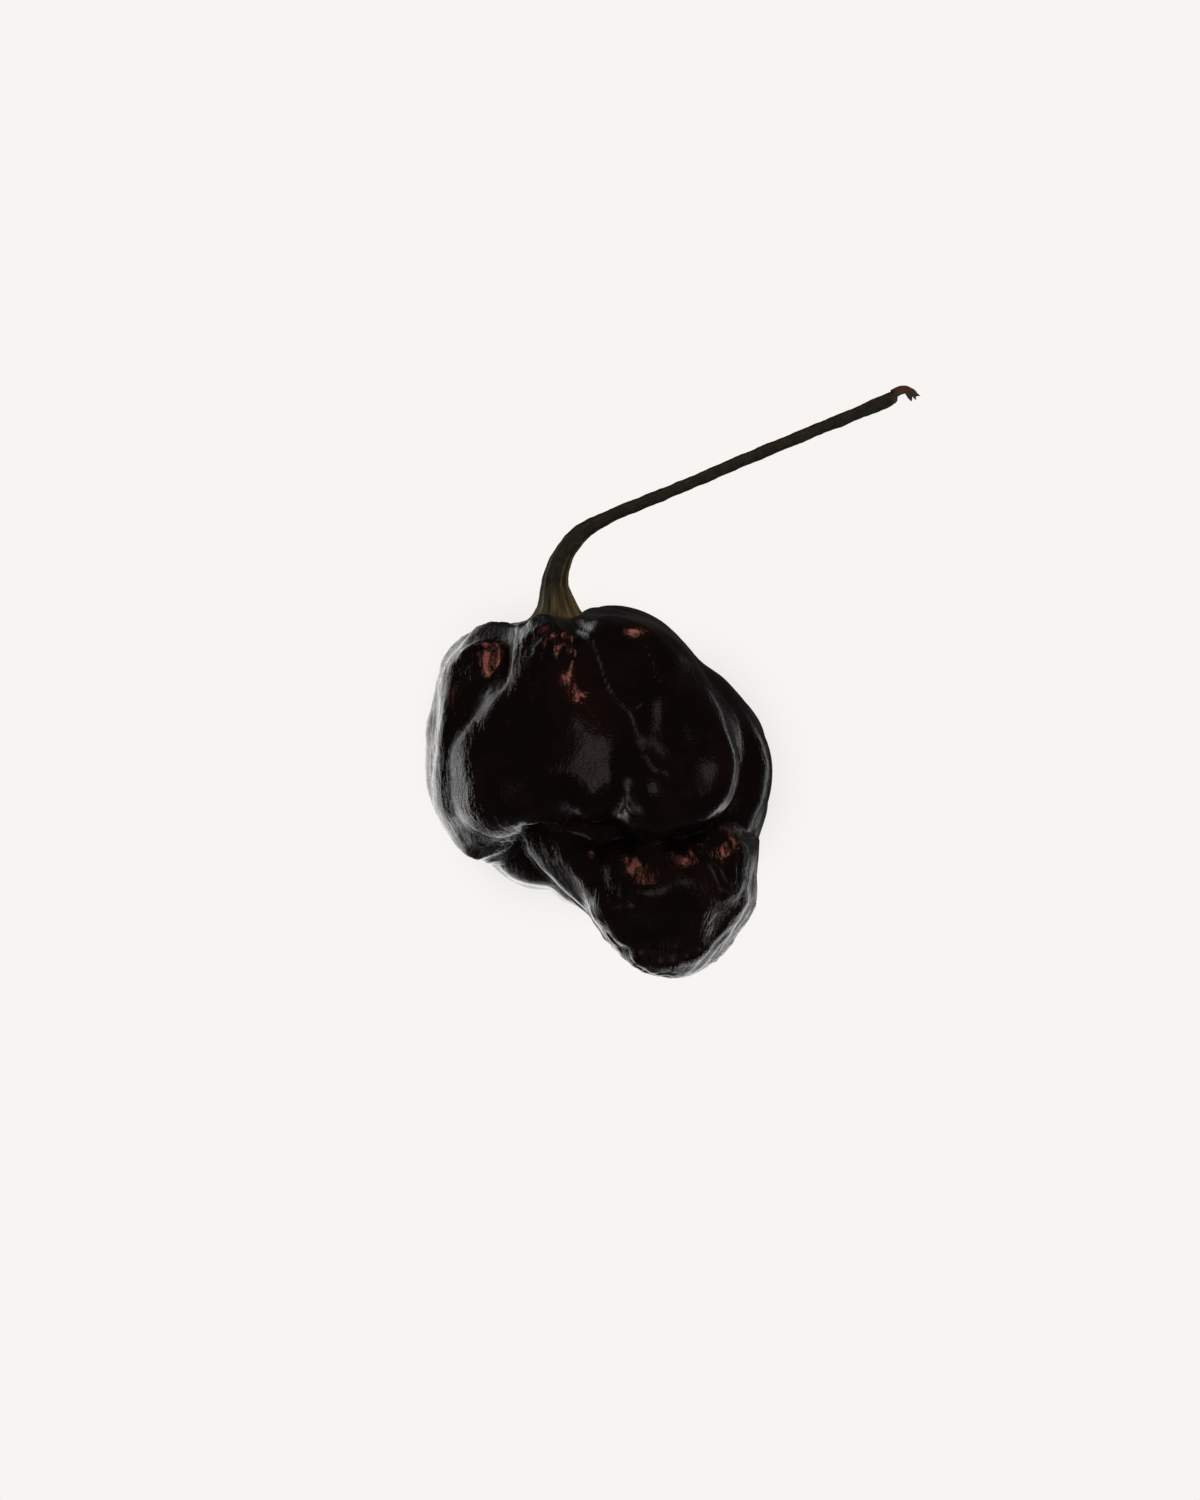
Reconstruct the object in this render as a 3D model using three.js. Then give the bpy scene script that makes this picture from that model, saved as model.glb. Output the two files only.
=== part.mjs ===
// A chocolate-brown chilli pepper of the wrinkled lantern kind, as picked, lying on its back.
// Millimetres, +Z up. The origin is the middle of the footprint on the surface that it lies on.
// The pod is one body of swollen lobes; the stem with its calyx is the other.
import * as THREE from 'three';

// Driving dimensions
// The pod is laid out round its crown, where the stem grows: +Y runs from the tip to the crown.
const crownPlace = new THREE.Vector3(-13.95, 7.22, 18.3);
const podCell = 1.35;
const podReach = { low: [-17.5, -45, -21.85], high: [28, 4.5, 20] };
const pullSteps = 4;
const slopeProbe = 0.02;
const tiny = 1e-9;

// Lobes: centre from the crown, half sizes along the lobe's own axes, turn about Z in degrees,
// and how pillow-like the lobe is (2 is an ellipsoid, more is flatter in front with a tighter rim).
// Lobes of one family flow into each other; between families there is a crease.
const lobes = [
  { name: 'core', family: 'body', at: [5.6, -17.2, -1.0], half: [13.0, 13.2, 12.5], turn: 10, pillow: 2.0 },
  { name: 'left', family: 'left', at: [-6.8, -14.9, -0.6], half: [7.6, 13.4, 10.0], turn: -8, pillow: 2.3 },
  { name: 'left ridge', family: 'left', at: [-11.0, -14.0, 1.6], half: [3.7, 9.0, 7.0], turn: -4, pillow: 2.2 },
  { name: 'left shoulder', family: 'left', at: [-7.3, -6.4, 1.0], half: [6.0, 4.9, 8.8], turn: 36, pillow: 2.5 },
  { name: 'middle top', family: 'middle', at: [0.3, -8.6, 5.2], half: [5.4, 9.4, 11.2], turn: 4, pillow: 2.2 },
  { name: 'middle low', family: 'middle', at: [-5.9, -17.3, 4.6], half: [6.8, 8.6, 9.8], turn: -10, pillow: 2.6 },
  { name: 'middle right', family: 'middle', at: [2.8, -15.9, 6.2], half: [7.6, 7.9, 10.8], turn: 14, pillow: 2.5 },
  { name: 'right', family: 'right', at: [11.0, -13.8, 4.2], half: [9.3, 15.9, 12.8], turn: 20, pillow: 2.5 },
  { name: 'right shoulder', family: 'right', at: [4.8, -3.8, 1.0], half: [5.0, 5.2, 8.0], turn: 0, pillow: 2.2 },
  { name: 'far right', family: 'far right', at: [16.3, -16.1, -6.2], half: [9.3, 13.1, 12.6], turn: 26, pillow: 2.3 },
  { name: 'low', family: 'tip', at: [13.4, -28.6, 0.0], half: [9.8, 7.8, 11.0], turn: -6, pillow: 2.5 },
  { name: 'tip', family: 'tip', at: [13.4, -33.8, -1.2], half: [8.5, 8.0, 10.2], turn: 0, pillow: 2.4 },
  { name: 'tip point', family: 'tip', at: [14.3, -39.4, -1.2], half: [3.0, 3.1, 4.4], turn: 0, pillow: 2.0 },
  { name: 'tip flank', family: 'tip', at: [3.6, -28.4, 0.5], half: [9.2, 4.0, 8.0], turn: -40, pillow: 2.4 },
  { name: 'back left', family: 'back left', at: [-3.2, -15.6, -8.8], half: [9.4, 16.0, 10.0], turn: 3, pillow: 2.3 },
  { name: 'small fold', family: 'fold', at: [2.8, -30.0, -4.0], half: [4.0, 4.2, 5.5], turn: 0, pillow: 2.0 },
  { name: 'nested fold', family: 'nested', at: [-7.0, -22.3, -3.5], half: [5.0, 6.2, 8.0], turn: 0, pillow: 2.2 },
  { name: 'back', family: 'back', at: [6.4, -14.6, -9.8], half: [8.2, 14.6, 9.0], turn: 8, pillow: 2.2 },
  { name: 'back low', family: 'back low', at: [11.5, -26.6, -8.2], half: [8.6, 7.6, 10.4], turn: 8, pillow: 2.2 },
];
const creaseSoftness = 0.38;
const familySoftness = 1.2;
const sway = 0.34;
const pleats = { count: 13, depth: 0.2, lean: -0.34 };

// The dimple that the stem grows out of.
const dimple = { at: [0.2, 1.8, -1.0], radius: 5.0, softness: 0.5 };

// The stem's middle line from the calyx to the torn end, measured from the crown.
const stemLine = [
  [0.2, -2.6, -1.0],
  [0.1, 1.4, -1.0],
  [-0.1, 5.0, -0.9],
  [1.0, 8.3, -0.9],
  [3.1, 10.8, -1.0],
  [6.0, 12.5, -1.2],
  [13.6, 15.7, -1.8],
  [26.9, 21.4, -2.8],
  [38.0, 26.0, -3.6],
  [41.2, 27.5, -3.8],
  [42.6, 27.5, -3.9],
  [43.7, 26.9, -4.1],
];
// Radius of the stem against the distance along its middle line.
const stemGirth = [
  [0, 0], [0.12, 1.0], [0.5, 2.0], [1.0, 2.8], [1.6, 3.4], [2.2, 3.85], [2.6, 3.6], [3.0, 3.1],
  [3.6, 2.65], [4.4, 2.2], [5.4, 1.85], [6.8, 1.5], [8.4, 1.38], [10.5, 1.2], [13, 1.05], [15.5, 0.85],
  [18, 0.74], [26, 0.67], [40, 0.67], [50, 0.74], [53, 0.78], [54.4, 0.7], [55.4, 0.45], [56.4, 0.26], [56.6, 0],
];
// Spacing of the stem's rings of vertices against the same distance.
const stemSteps = [[0, 0.12], [1, 0.35], [4, 0.45], [12, 0.9], [22, 1.9], [50, 1.9], [53, 0.45], [57, 0.3]];
const stemSides = 20;
const frameCount = 400;
const tornLength = 2.4;
const calyx = { lobes: 5, rimAt: 2.3, rimWidth: 0.9, teeth: 0.05, ribsAt: 4.6, ribsWidth: 2.2, ribs: 0.07 };

// How far a point is outside (+) or inside (-) one lobe.
function lobeDistance(x, y, z, lobe) {
  const [cx, cy, cz] = lobe.at;
  const [a, b, c] = lobe.half;
  const turn = THREE.MathUtils.degToRad(lobe.turn);
  const dx = x - cx;
  const dy = y - cy;
  const u = (dx * Math.cos(turn) + dy * Math.sin(turn)) / a;
  const v = (dy * Math.cos(turn) - dx * Math.sin(turn)) / b;
  const w = Math.abs(z - cz) / c;
  const n = lobe.pillow;
  const round = Math.max(Math.hypot(u, v), tiny);
  const size = Math.max((round ** n + w ** n) ** (1 / n), tiny);
  const slopeAcross = (round / size) ** (n - 1) * Math.hypot(u / a, v / b) / round;
  const slopeDeep = (w / size) ** (n - 1) / c;
  return (size - 1) / Math.max(Math.hypot(slopeAcross, slopeDeep), tiny);
}

// The smallest of some distances, with the join between two of them rounded.
function softMin(distances, softness) {
  const least = Math.min(...distances);
  const sum = distances.reduce((total, d) => total + Math.exp((least - d) / softness), 0);
  return least - softness * Math.log(sum);
}

// A slow bend of space that keeps the lobes from looking like true ellipsoids.
function swayed(x, y, z) {
  return [
    x + sway * (Math.sin(0.24 * y + 0.19 * z + 0.7) + 0.5 * Math.sin(0.52 * z - 0.41 * y + 2.0)),
    y + sway * (Math.sin(0.22 * x - 0.27 * z + 1.9) + 0.5 * Math.sin(0.48 * x + 0.37 * z)),
    z + sway * (Math.sin(0.25 * x + 0.21 * y + 4.1) + 0.5 * Math.sin(0.56 * y - 0.3 * x + 1.0)),
  ];
}

// Shallow pleats that run from the crown to the tip, round the pod's own middle line.
function pleat(x, y, z) {
  const round = Math.atan2(x - pleats.lean * y, z);
  const wander = 1.1 * Math.sin(0.21 * y) + 0.8 * Math.sin(0.17 * y - 0.2 * x + 1.3);
  return pleats.depth * Math.sin(pleats.count * round + wander);
}

const families = [...new Set(lobes.map((lobe) => lobe.family))];
const familyLobes = families.map((family) => lobes.filter((lobe) => lobe.family === family));

// The whole pod: lobes, creases and pleats, less the dimple at the crown.
function podDistance(x, y, z) {
  const [sx, sy, sz] = swayed(x, y, z);
  const parts = familyLobes.map((family) => (
    softMin(family.map((lobe) => lobeDistance(sx, sy, sz, lobe)), familySoftness)
  ));
  const flesh = softMin(parts, creaseSoftness) + pleat(x, y, z);
  const [bx, by, bz] = dimple.at;
  const bowl = Math.hypot(x - bx, y - by, z - bz) - dimple.radius;
  return -softMin([-flesh, bowl], dimple.softness);
}

// The outward direction, uphill in distance.
function uphill(distance, p) {
  const e = slopeProbe;
  return new THREE.Vector3(
    distance(p.x + e, p.y, p.z) - distance(p.x - e, p.y, p.z),
    distance(p.x, p.y + e, p.z) - distance(p.x, p.y - e, p.z),
    distance(p.x, p.y, p.z + e) - distance(p.x, p.y, p.z - e),
  ).divideScalar(2 * e);
}

// Moves a point onto the surface, in a few short steps.
function pullToSurface(distance, p, farthest) {
  const start = p.clone();
  for (let step = 0; step < pullSteps; step += 1) {
    const slope = uphill(distance, p);
    const gain = distance(p.x, p.y, p.z) / Math.max(slope.lengthSq(), 0.2);
    p.addScaledVector(slope, -gain);
    const moved = p.clone().sub(start);
    if (moved.length() > farthest) p.copy(start).add(moved.setLength(farthest));
  }
}

// A net of quads over the surface: one vertex in each grid cell that the surface passes through,
// and one quad round each grid edge that crosses it.
function surfaceNet(distance, reach, cell) {
  const counts = reach.low.map((low, i) => Math.ceil((reach.high[i] - low) / cell) + 1);
  const [nx, ny, nz] = counts;
  const at = (i, j, k) => (k * ny + j) * nx + i;
  const place = (i, j, k) => [i, j, k].map((n, axis) => reach.low[axis] + n * cell);
  const values = new Float64Array(nx * ny * nz);
  for (let k = 0; k < nz; k += 1) {
    for (let j = 0; j < ny; j += 1) {
      for (let i = 0; i < nx; i += 1) values[at(i, j, k)] = distance(...place(i, j, k));
    }
  }

  const corners = [];
  for (let n = 0; n < 8; n += 1) corners.push([n & 1, (n >> 1) & 1, (n >> 2) & 1]);
  const edges = [];
  for (let a = 0; a < 8; a += 1) {
    for (const bit of [1, 2, 4]) if (!(a & bit)) edges.push([a, a | bit]);
  }

  const vertexOf = new Map();
  const vertices = [];
  for (let k = 0; k < nz - 1; k += 1) {
    for (let j = 0; j < ny - 1; j += 1) {
      for (let i = 0; i < nx - 1; i += 1) {
        const held = corners.map(([di, dj, dk]) => values[at(i + di, j + dj, k + dk)]);
        const inside = held.filter((value) => value < 0).length;
        if (inside === 0 || inside === 8) continue;
        const sum = new THREE.Vector3();
        let crossings = 0;
        for (const [a, b] of edges) {
          if (held[a] < 0 === held[b] < 0) continue;
          const t = held[a] / (held[a] - held[b]);
          const from = new THREE.Vector3(...corners[a]);
          sum.add(from.lerp(new THREE.Vector3(...corners[b]), t));
          crossings += 1;
        }
        const vertex = new THREE.Vector3(...place(i, j, k)).addScaledVector(sum, cell / crossings);
        vertexOf.set(at(i, j, k), vertices.length);
        vertices.push(vertex);
      }
    }
  }

  const triangles = [];
  const step = [[1, 0, 0], [0, 1, 0], [0, 0, 1]];
  for (let k = 1; k < nz - 1; k += 1) {
    for (let j = 1; j < ny - 1; j += 1) {
      for (let i = 1; i < nx - 1; i += 1) {
        for (let axis = 0; axis < 3; axis += 1) {
          const near = values[at(i, j, k)] < 0;
          const far = values[at(i + step[axis][0], j + step[axis][1], k + step[axis][2])] < 0;
          if (near === far) continue;
          const u = step[(axis + 1) % 3];
          const v = step[(axis + 2) % 3];
          const ring = [[0, 0], [1, 0], [1, 1], [0, 1]].map(([a, b]) => vertexOf.get(
            at(i - a * u[0] - b * v[0], j - a * u[1] - b * v[1], k - a * u[2] - b * v[2]),
          ));
          if (!near) ring.reverse();
          const across = vertices[ring[0]].distanceTo(vertices[ring[2]]);
          const other = vertices[ring[1]].distanceTo(vertices[ring[3]]);
          const [p, q, r, s] = across < other ? ring : [ring[1], ring[2], ring[3], ring[0]];
          triangles.push(p, q, r, p, r, s);
        }
      }
    }
  }
  return { vertices, triangles };
}

function solidGeometry(vertices, triangles) {
  const geometry = new THREE.BufferGeometry();
  const flat = vertices.flatMap((p) => [p.x, p.y, p.z]);
  geometry.setAttribute('position', new THREE.Float32BufferAttribute(flat, 3));
  geometry.setIndex(triangles);
  geometry.computeVertexNormals();
  return geometry;
}

// The pod's lowest lobes are pressed flat where they touch the surface.
function podGeometry() {
  const { vertices, triangles } = surfaceNet(podDistance, podReach, podCell);
  for (const p of vertices) {
    pullToSurface(podDistance, p, podCell / 2);
    p.z = Math.max(p.z, -crownPlace.z);
  }
  return solidGeometry(vertices, triangles);
}

// A value read off a list of [distance, value] pairs, with straight lines between them.
function readAlong(pairs, s) {
  const next = pairs.findIndex(([at]) => at >= s);
  if (next === -1) return pairs[pairs.length - 1][1];
  if (next === 0) return pairs[0][1];
  const [s0, v0] = pairs[next - 1];
  const [s1, v1] = pairs[next];
  return THREE.MathUtils.mapLinear(s, s0, s1, v0, v1);
}

// Distances along the stem at which it has a ring of vertices: close at the calyx and at the torn end.
function stemStations(length) {
  const stations = [];
  for (let s = stemSteps[0][1]; s < length; s += readAlong(stemSteps, s)) stations.push(s);
  return stations;
}

// A tube with the stem's own girth, ribbed where it swells into the calyx, closed at a point at each end.
function stemGeometry() {
  const line = new THREE.CatmullRomCurve3(stemLine.map((p) => new THREE.Vector3(...p)), false, 'centripetal');
  line.arcLengthDivisions = 800;
  const length = line.getLength();
  const girthLength = stemGirth[stemGirth.length - 1][0];
  const stations = stemStations(length);
  const frames = line.computeFrenetFrames(frameCount, false);
  const vertices = [line.getPointAt(0)];
  for (const s of stations) {
    const centre = line.getPointAt(s / length);
    const frame = Math.round((s / length) * frameCount);
    const side = frames.normals[frame];
    const up = frames.binormals[frame];
    const girth = readAlong(stemGirth, (s / length) * girthLength);
    const rim = Math.exp(-(((s - calyx.rimAt) / calyx.rimWidth) ** 2));
    const ribs = Math.exp(-(((s - calyx.ribsAt) / calyx.ribsWidth) ** 2));
    const torn = THREE.MathUtils.smoothstep(s, length - tornLength, length);
    for (let n = 0; n < stemSides; n += 1) {
      const round = (n / stemSides) * 2 * Math.PI;
      const wave = calyx.teeth * rim * Math.cos(calyx.lobes * round + 0.4)
        + calyx.ribs * ribs * Math.cos(calyx.lobes * round + 3.0);
      const radius = girth * (1 + wave);
      const point = centre.clone()
        .addScaledVector(side, radius * Math.cos(round) * (1 + 0.25 * torn))
        .addScaledVector(up, radius * Math.sin(round) * (1 - 0.45 * torn));
      vertices.push(point);
    }
  }
  vertices.push(line.getPointAt(1));

  const triangles = [];
  const ringStart = (ring) => 1 + ring * stemSides;
  const last = vertices.length - 1;
  for (let n = 0; n < stemSides; n += 1) {
    const next = (n + 1) % stemSides;
    triangles.push(0, next + 1, n + 1);
    for (let ring = 0; ring < stations.length - 1; ring += 1) {
      const a = ringStart(ring) + n;
      const b = ringStart(ring) + next;
      const c = ringStart(ring + 1) + next;
      const d = ringStart(ring + 1) + n;
      triangles.push(a, b, c, a, c, d);
    }
    triangles.push(ringStart(stations.length - 1) + n, ringStart(stations.length - 1) + next, last);
  }
  return solidGeometry(vertices, triangles);
}

function piece(name, geometry, finish) {
  const mesh = new THREE.Mesh(geometry, new THREE.MeshStandardMaterial(finish));
  mesh.name = name;
  return mesh;
}

const chilli = new THREE.Group();
chilli.position.copy(crownPlace);
chilli.add(piece('pod', podGeometry(), { color: 0x1c0d09, roughness: 0.22, metalness: 0 }));
chilli.add(piece('stem', stemGeometry(), { color: 0x2b3518, roughness: 0.6, metalness: 0 }));

export default chilli;
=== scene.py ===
import math

import bpy
import numpy as np
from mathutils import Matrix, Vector


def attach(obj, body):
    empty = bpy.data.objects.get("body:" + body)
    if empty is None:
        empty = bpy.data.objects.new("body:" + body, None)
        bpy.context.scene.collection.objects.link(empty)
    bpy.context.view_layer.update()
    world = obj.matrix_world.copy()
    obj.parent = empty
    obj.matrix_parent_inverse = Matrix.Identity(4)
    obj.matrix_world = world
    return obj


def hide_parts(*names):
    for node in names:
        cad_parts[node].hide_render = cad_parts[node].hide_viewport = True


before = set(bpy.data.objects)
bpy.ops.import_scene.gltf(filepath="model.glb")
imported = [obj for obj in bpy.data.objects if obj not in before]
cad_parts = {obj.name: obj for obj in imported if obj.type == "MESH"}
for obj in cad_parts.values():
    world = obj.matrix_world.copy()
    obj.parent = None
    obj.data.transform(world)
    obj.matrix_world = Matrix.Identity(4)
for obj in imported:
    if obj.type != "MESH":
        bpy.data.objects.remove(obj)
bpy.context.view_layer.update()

mm = 0.001
scene = bpy.context.scene
scene.view_settings.view_transform = "Standard"


# Camera

print("camera")
photo = {
    "crownPixel": (556, 622),    # where the stem leaves the pod
    "middlePixel": (600, 750),
    "height": 1500,              # pixels
    "pixel": 0.12 * mm,          # size of one pixel at the crown
    "distance": 600 * mm,        # camera above the crown
    "markHeight": 12 * mm,       # height above the crown of marks on the upper side
    "sensor": 36,
}
crown = Vector((-13.95, 7.22, 18.3)) * mm


def addCamera(p):
    data = bpy.data.cameras.new("camera")
    data.sensor_width = p["sensor"]
    data.lens = p["sensor"] * p["distance"] / (p["height"] * p["pixel"])
    camera = bpy.data.objects.new("camera", data)
    across = (p["middlePixel"][0] - p["crownPixel"][0]) * p["pixel"]
    down = (p["middlePixel"][1] - p["crownPixel"][1]) * p["pixel"]
    camera.location = crown + Vector((across, -down, p["distance"]))
    scene.collection.objects.link(camera)
    scene.camera = camera


def marked(path):
    # Pixels of the picture, marked on the upper side, to tenths of a mm from the crown.
    size = photo["pixel"] / mm * (1 - photo["markHeight"] / photo["distance"])
    left, top = photo["crownPixel"]
    across, down = photo["middlePixel"]
    x = (across - left) * photo["pixel"] / mm
    y = (top - down) * photo["pixel"] / mm
    return [(round(x + (u - across) * size, 1), round(y - (v - down) * size, 1)) for u, v in path]


addCamera(photo)


# Node trees written as expressions

class Wire:
    # One socket of a node tree. Arithmetic on it adds Math or Vector Math nodes.
    def __init__(self, tree, socket=None):
        self.tree = tree
        self.socket = socket

    def add(self, kind, settings=None, inputs=None, output=0):
        node = self.tree.nodes.new(kind)
        for name, value in (settings or {}).items():
            setattr(node, name, value)
        for key, value in (inputs or {}).items():
            if isinstance(value, Wire):
                self.tree.links.new(value.socket, node.inputs[key])
            else:
                node.inputs[key].default_value = value
        return Wire(self.tree, node.outputs[output] if len(node.outputs) else None)

    def isVector(self):
        return self.socket.type in ("VECTOR", "RGBA")

    def combine(self, operation, first, second):
        vectors = [x for x in (first, second) if isinstance(x, Wire) and x.isVector()]
        if not vectors:
            return self.add("ShaderNodeMath", {"operation": operation}, {0: first, 1: second})
        if operation == "MULTIPLY" and len(vectors) == 1:
            other = second if first is vectors[0] else first
            if not isinstance(other, (tuple, Vector)):
                return self.add("ShaderNodeVectorMath", {"operation": "SCALE"}, {0: vectors[0], 3: other})
        return self.add("ShaderNodeVectorMath", {"operation": operation}, {0: first, 1: second})

    def __add__(self, other):
        return self.combine("ADD", self, other)

    def __radd__(self, other):
        return self.combine("ADD", other, self)

    def __sub__(self, other):
        return self.combine("SUBTRACT", self, other)

    def __rsub__(self, other):
        return self.combine("SUBTRACT", other, self)

    def __mul__(self, other):
        return self.combine("MULTIPLY", self, other)

    def __rmul__(self, other):
        return self.combine("MULTIPLY", other, self)

    def __truediv__(self, other):
        return self.combine("DIVIDE", self, other)

    def __rtruediv__(self, other):
        return self.combine("DIVIDE", other, self)

    def __pow__(self, other):
        return self.combine("POWER", self, other)

    def run(self, operation, other=0.0):
        return self.add("ShaderNodeMath", {"operation": operation}, {0: self, 1: other})

    def between(self, low, high, toLow=0.0, toHigh=1.0):
        return self.add("ShaderNodeMapRange", {"interpolation_type": "SMOOTHSTEP"},
                        {0: self, 1: low, 2: high, 3: toLow, 4: toHigh})


def noise(at, scale, detail, roughness, distortion, vector):
    return at.add("ShaderNodeTexNoise", None, {
        "Vector": vector, "Scale": scale, "Detail": detail, "Roughness": roughness,
        "Distortion": distortion})


def mixColour(at, factor, first, second):
    # Sockets 0, 6 and 7 are the factor and the two colours.
    return at.add("ShaderNodeMix", {"data_type": "RGBA"}, {0: factor, 6: first, 7: second}, output=2)


def length(vector):
    return vector.add("ShaderNodeVectorMath", {"operation": "LENGTH"}, {0: vector}, output="Value")


def scaled(at, colour, factor):
    return at.add("ShaderNodeVectorMath", {"operation": "SCALE"}, {0: colour, 3: factor})


def newMaterial(name):
    material = bpy.data.materials.new(name)
    material.use_nodes = True
    material.node_tree.nodes.clear()
    return material, Wire(material.node_tree)


def finishMaterial(at, shader):
    at.add("ShaderNodeOutputMaterial", None, {"Surface": shader})


# The stage: pale floor, pale world and soft lights

print("stage")
stage = {
    "floorSize": 3.0,                    # metres
    "floorSeen": (0.93, 0.905, 0.885),
    "floorGlow": (1.40, 1.39, 1.38),     # the light that the glossy skin sees on the floor
    # Pools of that light, mm: the middle, where each starts to fade and where it ends.
    "pools": [((-55.0, 4.0), 32.0, 54.0), ((34.0, -54.0), 10.0, 32.0), ((0.0, -8.0), 32.0, 41.0),
              ((-58.0, -44.0), 8.0, 21.0), ((-135.0, -12.0), 45.0, 85.0)],
    "shadeMiddle": (-9.0, -13.0),        # mm, under the pod
    "shadeWay": (0.64, 0.77),            # direction of the darker side
    "shadeTurn": (0.05, 0.5),            # cosines between which that side darkens
    "farSide": (52.0, 60.0),             # mm, where a ring of glow starts there
    "farEnd": (64.0, 76.0),
    "farTurn": (0.8, 0.96),              # cosines from +X between which the ring appears
    "strayGlow": 0.02,
    "near": 0.01,                        # mm, keeps a division finite
    "umbraMiddle": (2.0, -6.0),          # mm, the shadow under the pod
    "umbra": (20.0, 27.0),
    "contactReach": 8 * mm,
    "contactSamples": 8,
    "contactShade": 0.35,
    "worldSeen": (0.945, 0.92, 0.90),
    "worldDim": (0.026, 0.021, 0.018),
    "worldSoft": (0.27, 0.26, 0.25),
}


def addFloor(s):
    # The camera sees a plain floor with a contact shadow. Every other ray sees the pools of light instead.
    side = s["floorSize"] / 2
    mesh = bpy.data.meshes.new("floor")
    corners = [(-side, -side, 0), (side, -side, 0), (side, side, 0), (-side, side, 0)]
    mesh.from_pydata(corners, [], [(0, 1, 2, 3)])
    floor = bpy.data.objects.new("floor", mesh)
    scene.collection.objects.link(floor)
    material, at = newMaterial("paleFloor")
    place = at.add("ShaderNodeTexCoord", output="Object") * (1 / mm)
    pool = None
    for middle, start, end in s["pools"]:
        part = length(place - (*middle, 0.0)).between(start, end, 1.0, 0.0)
        pool = part if pool is None else pool.run("MAXIMUM", part)
    out = place - (*s["shadeMiddle"], 0.0)
    reach = length(out)
    lean = at.add("ShaderNodeVectorMath", {"operation": "DOT_PRODUCT"},
                  {0: out, 1: (*s["shadeWay"], 0.0)}, output="Value")
    turn = lean / (reach + s["near"])
    shaded = turn.between(*s["shadeTurn"])
    far = reach.between(*s["farSide"]) * reach.between(*s["farEnd"], 1.0, 0.0)
    east = at.add("ShaderNodeSeparateXYZ", None, {0: out}) / (reach + s["near"])
    far = far * east.between(*s["farTurn"])
    under = length(place - (*s["umbraMiddle"], 0.0)).between(*s["umbra"])
    pool = (pool * (1 - shaded) + far * shaded) * under
    glow = at.add("ShaderNodeEmission", None, {"Color": scaled(at, s["floorGlow"], pool + s["strayGlow"])})
    contact = at.add("ShaderNodeAmbientOcclusion", {"samples": s["contactSamples"]},
                     {"Distance": s["contactReach"]}, output="AO")
    shade = contact.between(0.0, 1.0, 1 - s["contactShade"], 1.0)
    seen = at.add("ShaderNodeEmission", None, {"Color": scaled(at, s["floorSeen"], shade)})
    direct = at.add("ShaderNodeLightPath", output="Is Camera Ray")
    finishMaterial(at, at.add("ShaderNodeMixShader", None, {0: direct, 1: glow, 2: seen}))
    mesh.materials.append(material)


def addWorld(s):
    # Pale to the camera, softer to diffuse rays and dim in the gloss.
    world = bpy.data.worlds.new("studio")
    world.use_nodes = True
    world.node_tree.nodes.clear()
    at = Wire(world.node_tree)
    direct = at.add("ShaderNodeLightPath", output="Is Camera Ray")
    soft = at.add("ShaderNodeLightPath", output="Is Diffuse Ray")
    dim = mixColour(at, soft, (*s["worldDim"], 1), (*s["worldSoft"], 1))
    colour = mixColour(at, direct, dim, (*s["worldSeen"], 1))
    back = at.add("ShaderNodeBackground", None, {"Color": colour})
    at.add("ShaderNodeOutputWorld", None, {"Surface": back})
    scene.world = world


def addCard(name, place, aim, size, colour, power):
    data = bpy.data.lights.new(name, "AREA")
    data.shape = "ELLIPSE"
    data.size, data.size_y = size
    data.color = colour
    data.energy = power
    card = bpy.data.objects.new(name, data)
    card.location = place
    card.rotation_euler = (Vector(aim) - Vector(place)).to_track_quat("-Z", "Y").to_euler()
    scene.collection.objects.link(card)


addFloor(stage)
addWorld(stage)
# Metres and watts.
lights = {
    "warmCard": {"place": (0.14, 0.44, 0.28), "aim": (-0.008, -0.01, 0.018), "size": (0.18, 0.20),
                 "colour": (1.0, 0.34, 0.26), "power": 0.38},
    "highCard": {"place": (0.083, 0.289, 0.354), "aim": (-0.004, -0.02, 0.018), "size": (0.10, 0.08),
                 "colour": (1.0, 0.34, 0.26), "power": 0.08},
    "coolCard": {"place": (0.14, -0.22, 0.62), "aim": (0, 0, 0), "size": (0.32, 0.26),
                 "colour": (0.96, 0.74, 0.80), "power": 0.085},
}
for name, card in lights.items():
    addCard(name, **card)


# Pod: lobes, creases, pleats and wrinkles

print("pod")
pod = {
    "cell": 0.295,               # mm between the points of the skin
    "coarse": 4,                 # cells in a coarse one
    "batch": 150000,             # points worked out at once
    "reach": ((-17.5, -45.0, -21.5), (28.0, 4.5, 20.0)),
    "creaseSoftness": 0.38,
    "familySoftness": 1.2,
    "sway": 0.34,
    "pleats": (13, 0.2, -0.34),  # count, depth, lean of the middle line
    "dimple": ((0.2, 1.8, -1.0), 5.0, 0.5),
    "shell": 2.4,                # mm either side of the skin that are worked out finely
    "pullSteps": 3,
    "pullMost": 0.15,            # mm a step
    "slopeLeast": 0.2,           # squared
    "probe": 0.02,               # mm
    "paintedSheenAbove": 3,              # mm above the crown; the painted sheen is only above it
    # The upward part of the normal at which folds start, and the change over which they grow whole.
    "facing": (0.02, 0.25),
    "flank": (0.9, 0.45),        # the same for the wrinkles of the flanks, downwards
    "foldEnd": 0.18,             # share of a fold's path over which it runs out
    "flatFold": 0.3,             # share of the wrinkles that is left where the skin faces up
    # Shares of a family's radius: where wrinkles stop drawing together, where they start, and the
    # width over which they grow.
    "spreadFrom": 0.7,
    "foldFrom": 0.25,
    "foldOver": 0.45,
    "crownWrinkles": ((-2.0, -3.0, 8.0), 7.5, 1.3),
    "tiny": 1e-9,
}
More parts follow.
